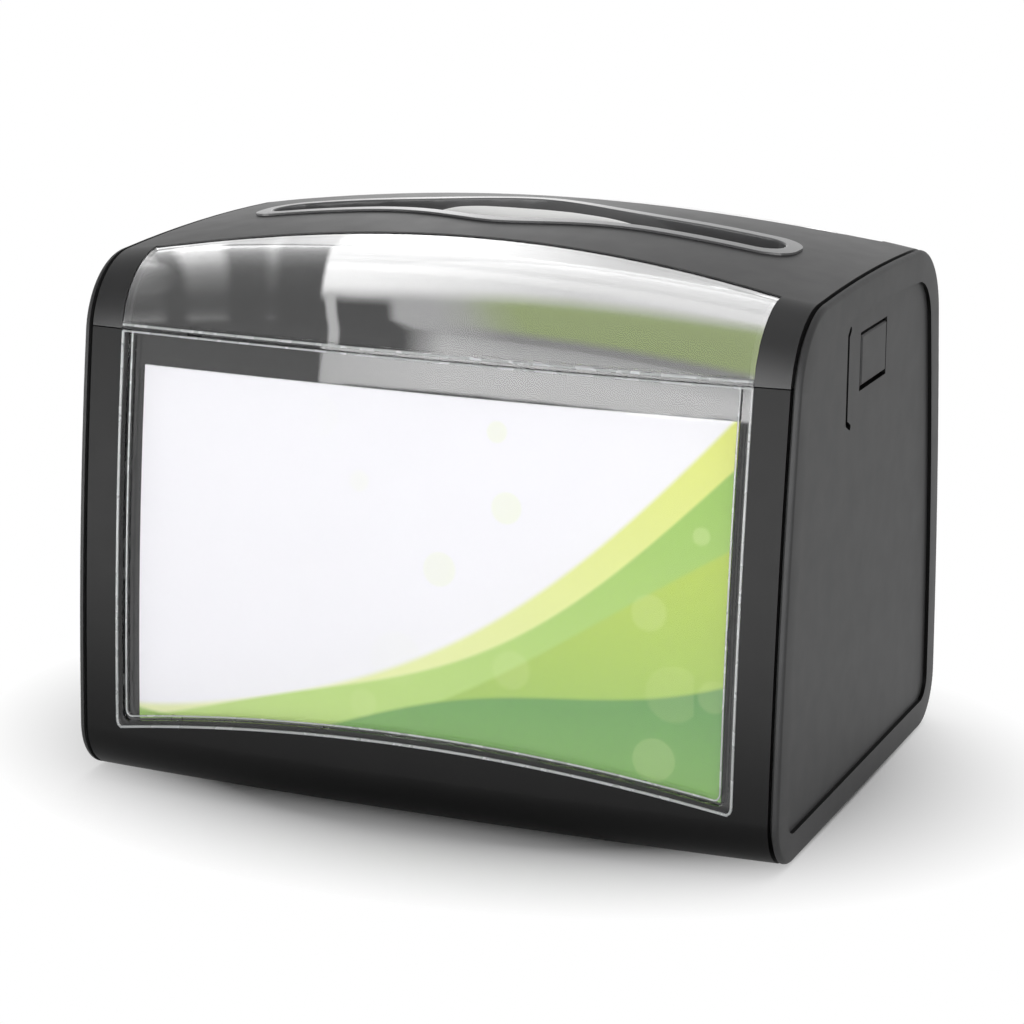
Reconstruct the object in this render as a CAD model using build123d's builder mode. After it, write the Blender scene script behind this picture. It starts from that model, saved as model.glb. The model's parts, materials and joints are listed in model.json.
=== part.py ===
"""Tabletop napkin dispenser: a crowned, spring-fed box with a lift-off cover and side release buttons.

Millimetres. X runs across the width, Y from front (-Y) to rear (+Y), Z up. The origin is on the table,
under the middle of the box. Front and rear are alike, and so are left and right.
"""
from build123d import *
import os

os.makedirs("parts", exist_ok=True)

# --- outer form -------------------------------------------------------------------------------------
width = 201.0            # over the two side panels
end_depth = 145.0        # front to rear along the bottom edge of a side panel
face_bow = 2.95          # front and rear faces swell by this much in the middle of the width
height = 153.2           # table to the crown, in the middle
crown_drop = 10.2        # the crown falls by this much from the middle to a side panel
foot_height = 0.5        # table to the underside of the box
lean = 12.1              # each face leans in by this much from bottom edge to top edge
face_swell = 2.65        # convexity of the front and rear faces, bottom to top
top_swell = 2.2          # convexity of the top, front to rear, at a side panel
top_swell_middle = 6.0   # and in the middle of the width
bottom_radius = 14.0     # rounding along the bottom of the faces
shoulder_radius = 22.0   # rounding along the top of the faces
cover_height = 28.6      # parting line between the cover and the housing, below the crown

# --- walls, fits and clearances -----------------------------------------------------------------------
shell_wall = 2.5         # fascias and cover
panel_wall = 3.0         # side panels
panel_flange = 1.5       # rim of a side panel that covers the ends of the shells
panel_edge_radius = 1.3
panel_gap = 1.2          # shows as a dark line between a side panel and the shells
lens_wall = 2.0
rib_wall = 1.6           # ribs inside the mouldings
moulded_corner = 2.0     # rounding of small moulded corners
fit = 0.15               # between pieces of one body that sit side by side
seat_gap = 0.1           # between pieces of one body that stand on each other
running_gap = 0.3        # between pieces of different bodies

# --- display window, card and its backing -------------------------------------------------------------
side_band = 11.9         # fascia beside the window
window_sill = 15.5       # height of the window's lower corners
sill_arch = 7.3          # the sill rises by this much in the middle
window_rim = 2.0         # raised border of the window, seen face on
pane_recess = 0.9        # pane behind its raised border
window_flange = 3.0      # hidden flange behind the fascia
flange_wall = 1.5
catch_length = 3.2       # small catches on the rim that hold the pane in its frame
catch_reach = 1.1
left_catch_heights = (29.5, 59.0, 67.0, 88.0)
right_catch_heights = (62.7, 100.5)
sill_catch_places = (-69.6, -26.8, 35.0, 64.0)
card_slack = 10.2        # the pocket is wider than the card by this much
card_offset = 1.0        # the card sits a little to one side in its pocket
card_wall = 0.6
card_drop = 9.6          # top edge of the card, below the seam
backing_wall = 1.2
backing_lap = 2.4        # backing reaches this far past each side of the window
backing_drop = 1.0       # top edge of the backing, below the housing's top edge

# --- cover: lenses and dispensing slot ----------------------------------------------------------------
lens_edge_depth = 43.5   # centre line to the upper corners of a lens
lens_edge_bow = 9.0      # the upper edge of a lens bows this much towards the slot
lens_ledge = 2.0         # the cover carries a lens on a ledge, this wide on each side of its edge
lens_lip = 1.9           # raised band along the lower edge of a lens
lens_step = 0.35         # lens face behind that band
lens_notch_x = -66.0     # half-round dent in the band
lens_notch_radius = 2.4
lens_notch_depth = 0.8
slot_half_length = 79.0  # over the bezel
slot_half_width = 19.7   # in the middle, where two fingers reach in
slot_bulge = 9.0         # the slot is this much narrower to either side of the middle
slot_bulge_reach = 42.0  # middle of the slot to where its sides run straight
bezel_land = 4.2         # width of the bezel's rounded rim
bezel_edge = 0.5
bezel_rise = 0.7
bezel_skirt = 5.0        # bezel below the crown
bezel_end_radius = 9.0

# --- magazine and napkins -----------------------------------------------------------------------------
latch_room = 13.9        # side panel's outer face to the magazine
face_room = 16.3         # foot of the front face to the magazine
magazine_wall = 1.6
end_wall = 2.6
magazine_drop = 6.6      # top edge of the magazine, below the seam
stack_play = 1.2         # napkins to magazine wall, front and rear
end_play = 1.8           # napkins to magazine wall, at the ends
shoulder_drop = 29.0     # edge of the top napkin, below the crown
stack_dome = 14.0        # the top of the stack is pushed up in the middle, towards the slot
guide_channel_width = 9.0
guide_channel_depth = 1.4
guide_spacing = 60.0     # between the two channels of one end wall
fold_half_length = 36.0  # the napkin's folded edge that is drawn up into the slot
fold_half_depth = 9.0
fold_drop = 0.2          # top of the fold, below the crown

# --- pusher and feed springs --------------------------------------------------------------------------
pusher_height = 70.0     # top of the pusher with the stack of napkins on it
pusher_wall = 2.5
pusher_skirt = 12.0
pusher_clearance = 0.4
spring_spacing = 84.0
spring_radius = 16.0
spring_wire = 2.0
spring_turns = 6.5
spring_post_radius = 13.5
spring_post_height = 5.0

# --- base ---------------------------------------------------------------------------------------------
deck_wall = 2.0
deck_margin = 18.3       # foot of the front face to the deck's edge
plug_margin = 27.7       # and to the lower step of the base, between the lips of the fascias
plug_wall = 2.0
pocket_columns = 6       # pockets between the ribs under the base
pocket_rows = 3
foot_radius = 6.5
foot_sink = 0.8          # foot let into the underside
foot_margin_x = 16.5     # side panel's outer face to the middle of a foot
foot_margin_y = 20.5     # foot of the front face to the middle of a rubber foot
screw_radius = 1.45
screw_head_radius = 2.8
screw_head_height = 1.3
screw_length = 8.0
screw_play = 0.05
boss_radius = 3.6
lip_screw_spacing = 100.0
lip_screw_margin = 23.0  # foot of the front face to the screws through the fascia's lip
end_screw_margin = 9.0   # side panel's outer face to the screws beside it, above and below
panel_screw_spacing = 60.0
panel_foot_height = 8.0
panel_foot_reach = 10.0
panel_foot_width = 14.0

# --- side panels, release buttons and latches ---------------------------------------------------------
field_border = 8.0       # rim round the sunk field of a side panel
field_sink = 1.1
spigot_wall = 2.0        # rib inside a side panel that locates the fascias
spigot_length = 4.0
button_height = 13.4
button_drop = 10.0       # lower edge of the button, below the seam
button_front = -8.0
button_rear = 14.0
button_gap = 1.1         # shows as a dark line above and below the button
button_front_gap = 1.8   # and in front of it
button_hinge_gap = 0.2
button_nub = 1.6         # pushes on the latch leg
button_nub_size = 6.0
button_edge = 0.4
slit_width = 1.6
slit_depth = 1.2
slit_y = -20.3
slit_below = 7.6         # the slit runs on below the button
slit_above = 2.0         # and above it
slit_hook = 3.0
latch_plate_rise = 4.4   # underside of the bracket, above the seam: the button swings in under it
latch_plate_wall = 2.5
latch_plate_half_depth = 46.0
latch_leg_wall = 1.8
latch_leg_flange = 5.0   # turned in under the bracket
latch_rivet_radius = 1.2
latch_leg_width = 20.0
latch_leg_offset = 7.8   # side panel's outer face to the leg's outer face
barb_drop = 3.6          # top of the barb, below the button
barb_height = 6.5
barb_nose = 2.5          # straight part of the barb, above its lead-in
leg_tail = 0.5           # leg below the barb
ledge_height = 2.4
ledge_reach = 2.0
cover_screw_spacing = 76.0

# --- worked out from the above ------------------------------------------------------------------------
half_width = width / 2
end_half_depth = end_depth / 2
panel_inner = half_width - panel_wall
shell_half = half_width - panel_flange - panel_gap     # fascias and cover end here
deck_half_length = panel_inner - running_gap
seam_height = height - cover_height
housing_top = seam_height - running_gap / 2
cover_bottom = seam_height + running_gap / 2
window_half_width = half_width - side_band
deck_bottom = foot_height + shell_wall + seat_gap
deck_top = deck_bottom + deck_wall
deck_half_depth = end_half_depth - deck_margin
plug_half_depth = end_half_depth - plug_margin
magazine_half_length = half_width - latch_room - end_wall
magazine_half_depth = end_half_depth - face_room - magazine_wall
magazine_top = seam_height - magazine_drop
stack_half_length = magazine_half_length - end_play
stack_half_depth = magazine_half_depth - stack_play
stack_shoulder = height - shoulder_drop
button_bottom = seam_height - button_drop
barb_top = button_bottom - barb_drop
latch_plate_bottom = seam_height + latch_plate_rise


def skin(inset):
    """The whole box as a solid, drawn inset from the outer surface."""
    with BuildPart() as form:
        for x in (-half_width, 0.0, half_width):
            middle = 1 - (x / half_width) ** 2
            foot = end_half_depth + face_bow * middle - inset
            crown = height - crown_drop * (1 - middle) - inset
            edge = crown - top_swell - (top_swell_middle - top_swell) * middle
            base = foot_height + inset
            face_middle = (foot - lean / 2 + face_swell, (base + edge) / 2)
            with BuildSketch(Plane.YZ.offset(x)) as profile:
                with BuildLine():
                    Line((-foot, base), (foot, base))
                    ThreePointArc((foot, base), face_middle, (foot - lean, edge))
                    ThreePointArc((foot - lean, edge), (0, crown), (lean - foot, edge))
                    ThreePointArc((lean - foot, edge), (-face_middle[0], face_middle[1]), (-foot, base))
                make_face()
                fillet(profile.vertices().group_by(Axis.Y)[0], bottom_radius - inset)
                fillet(profile.vertices().group_by(Axis.Y)[-1], shoulder_radius - inset)
        loft()
    return form.part


def layer(outer_inset, thickness):
    """A shell of even thickness that follows the outer surface, open at both ends of the width."""
    with BuildPart() as shell:
        add(skin(outer_inset))
        add(skin(outer_inset + thickness), mode=Mode.SUBTRACT)
    return shell.part


def window_prism(clearance):
    """The window's outline, carried through the front face. A negative clearance makes it larger."""
    side = window_half_width - clearance
    sill = window_sill + clearance
    with BuildPart() as prism:
        with BuildSketch(Plane.XZ) as outline:
            with BuildLine():
                ThreePointArc((-side, sill), (0, sill + sill_arch), (side, sill))
                Line((side, sill), (side, height))
                Line((side, height), (-side, height))
                Line((-side, height), (-side, sill))
            make_face()
            fillet(outline.vertices().group_by(Axis.Y)[0], moulded_corner)
        extrude(amount=width)
    return prism.part


def sill_height(x):
    """Height of the window's arched lower edge."""
    return window_sill + sill_arch * (1 - (x / window_half_width) ** 2)


def front_slab(low, high, half_length):
    """Everything in front of the centre line between two heights."""
    with BuildPart() as slab:
        with Locations((0, 0, low)):
            Box(2 * half_length, width, high - low, align=(Align.CENTER, Align.MAX, Align.MIN))
    return slab.part


def mirrored(piece, plane):
    """The same piece on the other side of the box."""
    with BuildPart() as other:
        mirror(piece.part, about=plane)
    return other


# --- fascias: bands beside and below a window, with a lip under the box ---------------------------------
from_below = (Align.CENTER, Align.CENTER, Align.MIN)
shell_layer = layer(0, shell_wall)


def foot_places():
    return GridLocations(2 * (half_width - foot_margin_x), 2 * (end_half_depth - foot_margin_y), 2, 2)


def lip_screw_places():
    return GridLocations(lip_screw_spacing, 2 * (end_half_depth - lip_screw_margin), 2, 2)


def panel_screw_places():
    return GridLocations(2 * (half_width - end_screw_margin), panel_screw_spacing, 2, 2)


def spring_places():
    return GridLocations(spring_spacing, 1, 2, 1)


def screw(radius_play):
    """A countersunk screw, or with play the hole for it, standing on its head."""
    with BuildPart() as body:
        Cylinder(screw_radius + radius_play, screw_length, align=from_below)
        Cone(screw_head_radius + radius_play, screw_radius + radius_play, screw_head_height,
             align=from_below)
    return body.part


with BuildPart() as front_fascia:
    add(shell_layer)
    add(front_slab(foot_height, housing_top, shell_half), mode=Mode.INTERSECT)
    add(window_prism(0), mode=Mode.SUBTRACT)
    Box(width, 2 * (plug_half_depth + fit), 2 * (deck_bottom + deck_wall), mode=Mode.SUBTRACT)
    with Locations(Plane.XY.offset(foot_height)):
        with foot_places():
            Cylinder(foot_radius + fit, foot_sink, align=from_below, mode=Mode.SUBTRACT)
        with lip_screw_places():
            add(screw(screw_play), mode=Mode.SUBTRACT)

rear_fascia = mirrored(front_fascia, Plane.XZ)

# --- display windows, cards and their backings ----------------------------------------------------------
with BuildPart() as front_window:
    add(layer(fit, pane_recess + lens_wall - fit))
    add(window_prism(fit), mode=Mode.INTERSECT)
    with BuildPart(mode=Mode.PRIVATE) as hollow:
        add(layer(0, pane_recess))
        add(window_prism(fit + window_rim), mode=Mode.INTERSECT)
    add(hollow.part, mode=Mode.SUBTRACT)
    with BuildPart(mode=Mode.PRIVATE) as flange:
        add(layer(shell_wall + fit, flange_wall))
        add(window_prism(-window_flange), mode=Mode.INTERSECT)
        add(window_prism(fit + window_rim), mode=Mode.SUBTRACT)
    add(flange.part)
    add(front_slab(0, housing_top, half_width), mode=Mode.INTERSECT)
    with BuildPart(mode=Mode.PRIVATE) as catches:
        rim_inside = window_half_width - fit - window_rim
        for side, heights in ((-1, left_catch_heights), (1, right_catch_heights)):
            with Locations(*[(side * rim_inside, 0, z) for z in heights]):
                Box(2 * catch_reach, width, catch_length, align=(Align.CENTER, Align.MAX, Align.CENTER))
        with Locations(*[(x, 0, sill_height(x) + fit + window_rim) for x in sill_catch_places]):
            Box(catch_length, width, 2 * catch_reach, align=(Align.CENTER, Align.MAX, Align.CENTER))
        add(layer(pane_recess / 2, pane_recess), mode=Mode.INTERSECT)
    add(catches.part)

card_inset = shell_wall + fit + flange_wall - card_wall
with BuildPart() as front_card:
    add(layer(card_inset, card_wall))
    add(window_prism(fit + window_rim + fit), mode=Mode.INTERSECT)
    with Locations((card_offset, 0, 0)):
        Box(2 * window_half_width - card_slack, width, seam_height - card_drop,
            align=(Align.CENTER, Align.MAX, Align.MIN), mode=Mode.INTERSECT)

with BuildPart() as front_backing:
    add(layer(card_inset + card_wall + seat_gap, backing_wall))
    add(front_slab(deck_top + seat_gap, housing_top - backing_drop, window_half_width + backing_lap),
        mode=Mode.INTERSECT)
    Box(width, 2 * (magazine_half_depth + magazine_wall + fit), 2 * height, mode=Mode.SUBTRACT)

rear_window = mirrored(front_window, Plane.XZ)
rear_card = mirrored(front_card, Plane.XZ)
rear_backing = mirrored(front_backing, Plane.XZ)

# --- base: a deck the magazine stands on, with a ribbed step below it -----------------------------------
with BuildPart() as base_tray:
    with Locations((0, 0, deck_bottom)):
        Box(2 * deck_half_length, 2 * deck_half_depth, deck_wall, align=from_below)
    with Locations((0, 0, foot_height)):
        Box(2 * deck_half_length, 2 * plug_half_depth, deck_bottom - foot_height, align=from_below)
    pitch_x = (2 * deck_half_length - plug_wall) / pocket_columns
    pitch_y = (2 * plug_half_depth - plug_wall) / pocket_rows
    with BuildSketch(Plane.XY.offset(foot_height)):
        with GridLocations(pitch_x, pitch_y, pocket_columns, pocket_rows):
            RectangleRounded(pitch_x - plug_wall, pitch_y - plug_wall, plug_wall)
    extrude(amount=deck_bottom - foot_height, mode=Mode.SUBTRACT)
    with Locations(Plane.XY.offset(deck_top)):
        with spring_places():
            Cylinder(spring_post_radius, spring_post_height, align=from_below)
            Cylinder(spring_post_radius - plug_wall, spring_post_height, align=from_below,
                     mode=Mode.SUBTRACT)
        with lip_screw_places():
            Cylinder(boss_radius, foot_height + screw_length + deck_wall - deck_top, align=from_below)
    with Locations(Plane.XY.offset(foot_height)):
        with lip_screw_places():
            add(screw(screw_play), mode=Mode.SUBTRACT)
    with Locations(Plane.XY.offset(deck_bottom)):
        with panel_screw_places():
            add(screw(screw_play), mode=Mode.SUBTRACT)

with BuildPart() as base_screws:
    with Locations(Plane.XY.offset(foot_height)):
        with lip_screw_places():
            add(screw(0))
    with Locations(Plane.XY.offset(deck_bottom)):
        with panel_screw_places():
            add(screw(0))

with BuildPart() as rubber_feet:
    with foot_places():
        Cylinder(foot_radius, foot_height + foot_sink, align=from_below)

# --- magazine: four walls round the napkins -------------------------------------------------------------
wall_bottom = deck_top + seat_gap

with BuildPart() as magazine_front_wall:
    with Locations((0, -magazine_half_depth, wall_bottom)):
        Box(2 * (magazine_half_length + end_wall), magazine_wall, magazine_top - wall_bottom,
            align=(Align.CENTER, Align.MAX, Align.MIN))
    chamfer(magazine_front_wall.edges().filter_by(Axis.X).group_by(Axis.Z)[-1].sort_by(Axis.Y)[-1],
            magazine_wall / 2)

with BuildPart() as magazine_right_wall:
    with Locations((magazine_half_length, 0, wall_bottom)):
        Box(end_wall, 2 * (magazine_half_depth - seat_gap), magazine_top - wall_bottom,
            align=(Align.MIN, Align.CENTER, Align.MIN))
    with Locations((magazine_half_length, 0, wall_bottom)):
        with GridLocations(1, guide_spacing, 1, 2):
            Box(guide_channel_depth, guide_channel_width, magazine_top - wall_bottom,
                align=(Align.MIN, Align.CENTER, Align.MIN), mode=Mode.SUBTRACT)

magazine_rear_wall = mirrored(magazine_front_wall, Plane.XZ)
magazine_left_wall = mirrored(magazine_right_wall, Plane.YZ)

# --- pusher, springs and napkins ------------------------------------------------------------------------
pusher_half_length = magazine_half_length - pusher_clearance
pusher_half_depth = magazine_half_depth - pusher_clearance
plate_bottom = pusher_height - pusher_wall

with BuildPart() as pusher_plate:
    with BuildSketch(Plane.XY.offset(pusher_height)):
        RectangleRounded(2 * pusher_half_length, 2 * pusher_half_depth, moulded_corner)
    extrude(amount=-pusher_skirt)
    with BuildSketch(Plane.XY.offset(plate_bottom)):
        RectangleRounded(2 * (pusher_half_length - rib_wall), 2 * (pusher_half_depth - rib_wall),
                         moulded_corner)
    extrude(amount=-pusher_skirt, mode=Mode.SUBTRACT)
    with Locations((0, 0, plate_bottom)):
        with GridLocations(pusher_half_length / 2, 1, 3, 1):
            Box(rib_wall, 2 * pusher_half_depth - rib_wall, spring_post_height,
                align=(Align.CENTER, Align.CENTER, Align.MAX))
        Box(2 * pusher_half_length - rib_wall, rib_wall, spring_post_height,
            align=(Align.CENTER, Align.CENTER, Align.MAX))
        with spring_places():
            Cylinder(spring_radius + spring_wire + rib_wall, spring_post_height,
                     align=(Align.CENTER, Align.CENTER, Align.MAX))
            Cylinder(spring_radius + spring_wire, spring_post_height,
                     align=(Align.CENTER, Align.CENTER, Align.MAX), mode=Mode.SUBTRACT)
            Cylinder(spring_post_radius, spring_post_height,
                     align=(Align.CENTER, Align.CENTER, Align.MAX))
    with Locations((0, 0, pusher_height)):
        with GridLocations(2 * pusher_half_length, guide_spacing, 2, 2):
            Box(2 * guide_channel_depth, guide_channel_width - 2 * pusher_clearance, pusher_skirt,
                align=(Align.CENTER, Align.CENTER, Align.MAX))

spring_bottom = deck_top + seat_gap
spring_top = plate_bottom - seat_gap


def feed_spring(x):
    """A round-wire compression spring that stands on the base and carries the pusher."""
    rise = spring_top - spring_bottom - spring_wire
    with BuildPart() as coil:
        with BuildLine() as wire:
            Helix(rise / spring_turns, rise, spring_radius,
                  center=(x, 0, spring_bottom + spring_wire / 2))
        with BuildSketch(Plane(wire.line @ 0, z_dir=wire.line % 0)):
            RegularPolygon(spring_wire / 2, 8)
        sweep(path=wire.line, is_frenet=True)
    return coil


left_feed_spring = feed_spring(-spring_spacing / 2)
right_feed_spring = feed_spring(spring_spacing / 2)

stack_bottom = pusher_height + seat_gap
with BuildPart() as napkin_stack:
    with BuildSketch(Plane.YZ.offset(-stack_half_length)):
        with BuildLine():
            ThreePointArc((-stack_half_depth, stack_shoulder), (0, stack_shoulder + stack_dome),
                          (stack_half_depth, stack_shoulder))
            Polyline((stack_half_depth, stack_shoulder), (stack_half_depth, stack_bottom),
                     (-stack_half_depth, stack_bottom), (-stack_half_depth, stack_shoulder))
        make_face()
    extrude(amount=2 * stack_half_length)

fold_bottom = stack_shoulder + stack_dome + seat_gap
fold_top = height - fold_drop
with BuildPart() as leading_napkin:
    with BuildSketch(Plane.XZ):
        with BuildLine():
            ThreePointArc((-fold_half_length, fold_bottom), (0, fold_top), (fold_half_length, fold_bottom))
            Line((fold_half_length, fold_bottom), (-fold_half_length, fold_bottom))
        make_face()
    extrude(amount=fold_half_depth, both=True)
    with BuildSketch(Plane.YZ):
        with BuildLine():
            ThreePointArc((-fold_half_depth, fold_bottom), (0, fold_top), (fold_half_depth, fold_bottom))
            Line((fold_half_depth, fold_bottom), (-fold_half_depth, fold_bottom))
        make_face()
    extrude(amount=fold_half_length, both=True, mode=Mode.INTERSECT)

# --- cover: top shell, clear lenses, slot bezel ---------------------------------------------------------
def lens_prism(clearance):
    """Where the front lens lies in the cover, carried right through it."""
    reach = window_half_width - clearance
    corner = -lens_edge_depth - clearance
    with BuildPart() as prism:
        with BuildSketch(Plane.XY.offset(cover_bottom)):
            with BuildLine():
                ThreePointArc((-reach, corner), (0, corner + lens_edge_bow), (reach, corner))
                Polyline((reach, corner), (reach, -width), (-reach, -width), (-reach, corner))
            make_face()
        extrude(amount=height)
    return prism.part


def slot_prism(margin, low, high):
    """The slot's outline, grown by a margin, between two heights."""
    half_length = slot_half_length + margin
    half_depth = slot_half_width + margin
    narrow_half = half_depth - slot_bulge
    with BuildPart() as prism:
        with BuildSketch(Plane.XY.offset(low)):
            RectangleRounded(2 * half_length, 2 * narrow_half, min(bezel_end_radius, narrow_half - fit))
            with BuildLine():
                Spline((-slot_bulge_reach, -narrow_half), (0, -half_depth),
                       (slot_bulge_reach, -narrow_half), tangents=((1, 0), (1, 0)))
                Line((slot_bulge_reach, -narrow_half), (slot_bulge_reach, narrow_half))
                Spline((slot_bulge_reach, narrow_half), (0, half_depth),
                       (-slot_bulge_reach, narrow_half), tangents=((-1, 0), (-1, 0)))
                Line((-slot_bulge_reach, narrow_half), (-slot_bulge_reach, -narrow_half))
            make_face()
        extrude(amount=high - low)
    return prism.part


lens_inset = lens_wall + fit
with BuildPart() as top_cover:
    add(shell_layer)
    with Locations((0, 0, cover_bottom)):
        Box(2 * shell_half, width, height, align=from_below, mode=Mode.INTERSECT)
    with BuildPart(mode=Mode.PRIVATE) as lens_places:
        add(lens_prism(0))
        mirror(about=Plane.XZ)
    add(lens_places.part, mode=Mode.SUBTRACT)
    with BuildPart(mode=Mode.PRIVATE) as ledges:
        add(layer(lens_inset, shell_wall))
        with BuildPart(mode=Mode.PRIVATE) as ledge_places:
            add(lens_prism(-lens_ledge))
            add(lens_prism(lens_ledge), mode=Mode.SUBTRACT)
            mirror(about=Plane.XZ)
        add(ledge_places.part, mode=Mode.INTERSECT)
    add(ledges.part)
    add(slot_prism(fit - bezel_land / 2, cover_bottom, height + crown_drop), mode=Mode.SUBTRACT)


with BuildPart() as front_top_lens:
    add(layer(lens_step, lens_wall - lens_step))
    with BuildPart(mode=Mode.PRIVATE) as lip:
        add(layer(0, lens_wall))
        add(front_slab(cover_bottom, cover_bottom + lens_lip, half_width), mode=Mode.INTERSECT)
    add(lip.part)
    add(lens_prism(fit), mode=Mode.INTERSECT)
    with BuildPart(mode=Mode.PRIVATE) as notch:
        with BuildSketch(Plane.XZ) as notch_outline:
            with Locations((lens_notch_x, cover_bottom)):
                Circle(lens_notch_radius)
        extrude(amount=width)
        add(layer(0, lens_notch_depth), mode=Mode.INTERSECT)
    add(notch.part, mode=Mode.SUBTRACT)

with BuildPart() as front_lens_backing:
    add(layer(lens_inset, backing_wall))
    add(lens_prism(lens_ledge + fit), mode=Mode.INTERSECT)

rear_top_lens = mirrored(front_top_lens, Plane.XZ)
rear_lens_backing = mirrored(front_lens_backing, Plane.XZ)

with BuildPart() as slot_bezel:
    add(skin(-bezel_rise))
    add(skin(bezel_skirt), mode=Mode.SUBTRACT)
    add(slot_prism(-bezel_land / 2, stack_shoulder, 2 * height), mode=Mode.INTERSECT)
    with BuildPart(mode=Mode.PRIVATE) as land:
        add(slot_prism(0, stack_shoulder, 2 * height))
        add(slot_prism(-bezel_land / 2, stack_shoulder, 2 * height), mode=Mode.SUBTRACT)
        add(skin(-bezel_rise), mode=Mode.INTERSECT)
        add(skin(-fit / 2), mode=Mode.SUBTRACT)
    add(land.part)
    add(slot_prism(-bezel_land, stack_shoulder, 2 * height), mode=Mode.SUBTRACT)
    fillet(slot_bezel.faces().sort_by(Axis.Z)[-1].edges(), bezel_edge)

# --- side panels and release buttons --------------------------------------------------------------------
button_length = button_rear - button_front
button_middle_y = (button_front + button_rear) / 2
button_middle_z = button_bottom + button_height / 2
slit_bottom = button_bottom - slit_below
slit_top = button_bottom + button_height + slit_above


def end_slab(low_x, high_x):
    """A slice of the right-hand end of the box."""
    with BuildPart() as slab:
        with Locations((low_x, 0, 0)):
            Box(high_x - low_x, width, 2 * height, align=(Align.MIN, Align.CENTER, Align.CENTER))
    return slab.part


with BuildPart() as right_side_panel:
    add(skin(0))
    add(end_slab(half_width - panel_flange, half_width), mode=Mode.INTERSECT)
    fillet(right_side_panel.faces().sort_by(Axis.X)[-1].edges(), panel_edge_radius)
    with BuildPart(mode=Mode.PRIVATE) as plate:
        add(skin(shell_wall + fit))
        add(end_slab(panel_inner, half_width - panel_flange), mode=Mode.INTERSECT)
    add(plate.part)
    with BuildPart(mode=Mode.PRIVATE) as field:
        add(skin(field_border))
        add(end_slab(half_width - field_sink, half_width), mode=Mode.INTERSECT)
    add(field.part, mode=Mode.SUBTRACT)
    with BuildPart(mode=Mode.PRIVATE) as spigot:
        add(layer(shell_wall + fit, spigot_wall))
        add(end_slab(panel_inner - spigot_length, panel_inner), mode=Mode.INTERSECT)
        Box(2 * width, 2 * (deck_half_depth + fit), 4 * deck_top, mode=Mode.SUBTRACT)
        with Locations((0, 0, housing_top - backing_drop)):
            Box(2 * width, width, height, align=from_below, mode=Mode.SUBTRACT)
    add(spigot.part)
    with Locations((panel_inner - ledge_reach, button_middle_y, barb_top + running_gap)):
        Box(ledge_reach + panel_wall / 2, latch_leg_width, ledge_height,
            align=(Align.MIN, Align.CENTER, Align.MIN))
    with Locations((panel_inner - panel_foot_reach, 0, deck_top + seat_gap)):
        with GridLocations(1, panel_screw_spacing, 1, 2):
            Box(panel_foot_reach + panel_wall / 2, panel_foot_width, panel_foot_height,
                align=(Align.MIN, Align.CENTER, Align.MIN))
    with Locations(Plane.XY.offset(deck_bottom)):
        with panel_screw_places():
            add(screw(screw_play), mode=Mode.SUBTRACT)
    with Locations((panel_inner, button_front - button_front_gap, button_bottom - button_gap)):
        Box(panel_wall, button_length + button_front_gap + button_hinge_gap,
            button_height + 2 * button_gap, align=(Align.MIN, Align.MIN, Align.MIN), mode=Mode.SUBTRACT)
    with BuildSketch(Plane.YZ.offset(half_width - field_sink)):
        with BuildLine():
            slit_line = Polyline((slit_y + slit_hook, slit_bottom - slit_hook / 2), (slit_y, slit_bottom),
                                 (slit_y, slit_top), (slit_y + slit_hook / 2, slit_top + slit_hook / 2))
            offset(slit_line, amount=slit_width / 2)
        make_face()
    extrude(amount=-slit_depth, mode=Mode.SUBTRACT)

left_side_panel = mirrored(right_side_panel, Plane.YZ)

with BuildPart() as right_release_button:
    with Locations((panel_inner, button_middle_y, button_middle_z)):
        Box(panel_wall - field_sink, button_length, button_height,
            align=(Align.MIN, Align.CENTER, Align.CENTER))
    chamfer(right_release_button.faces().sort_by(Axis.X)[-1].edges(), button_edge)
    with Locations((panel_inner, button_front + button_nub, button_middle_z)):
        Box(button_nub, button_nub_size, button_nub_size, align=(Align.MAX, Align.MIN, Align.CENTER))

left_release_button = mirrored(right_release_button, Plane.YZ)

# --- latches at the ends of the cover, and the screws that hold them ------------------------------------
leg_outer = half_width - latch_leg_offset
leg_inner = leg_outer - latch_leg_wall
leg_bottom = barb_top - barb_height - leg_tail
barb_tip = panel_inner - ledge_reach - running_gap
bracket_outer = panel_inner - 2 * running_gap
bracket_inner = magazine_half_length + end_wall + running_gap
bracket_top = latch_plate_bottom + latch_plate_wall


def cover_screw_places():
    return GridLocations(2 * (half_width - end_screw_margin), cover_screw_spacing, 2, 2)


def latch_rivet(low, high, radius_play):
    """The pin of a latch leg between two heights, or with play the hole for it."""
    with BuildPart() as pin:
        with Locations((leg_inner - latch_leg_flange / 2, button_middle_y, low)):
            with GridLocations(1, latch_leg_width / 2, 1, 2):
                Cylinder(latch_rivet_radius + radius_play, high - low, align=from_below)
    return pin.part


with BuildPart() as right_latch_bracket:
    with BuildSketch(Plane.XY.offset(latch_plate_bottom)):
        with Locations(((bracket_outer + bracket_inner) / 2, 0)):
            RectangleRounded(bracket_outer - bracket_inner, 2 * latch_plate_half_depth, moulded_corner)
    extrude(amount=latch_plate_wall)
    add(latch_rivet(latch_plate_bottom, bracket_top, fit), mode=Mode.SUBTRACT)
    with Locations(Plane.XY.offset(latch_plate_bottom)):
        with cover_screw_places():
            add(screw(screw_play), mode=Mode.SUBTRACT)

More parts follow.
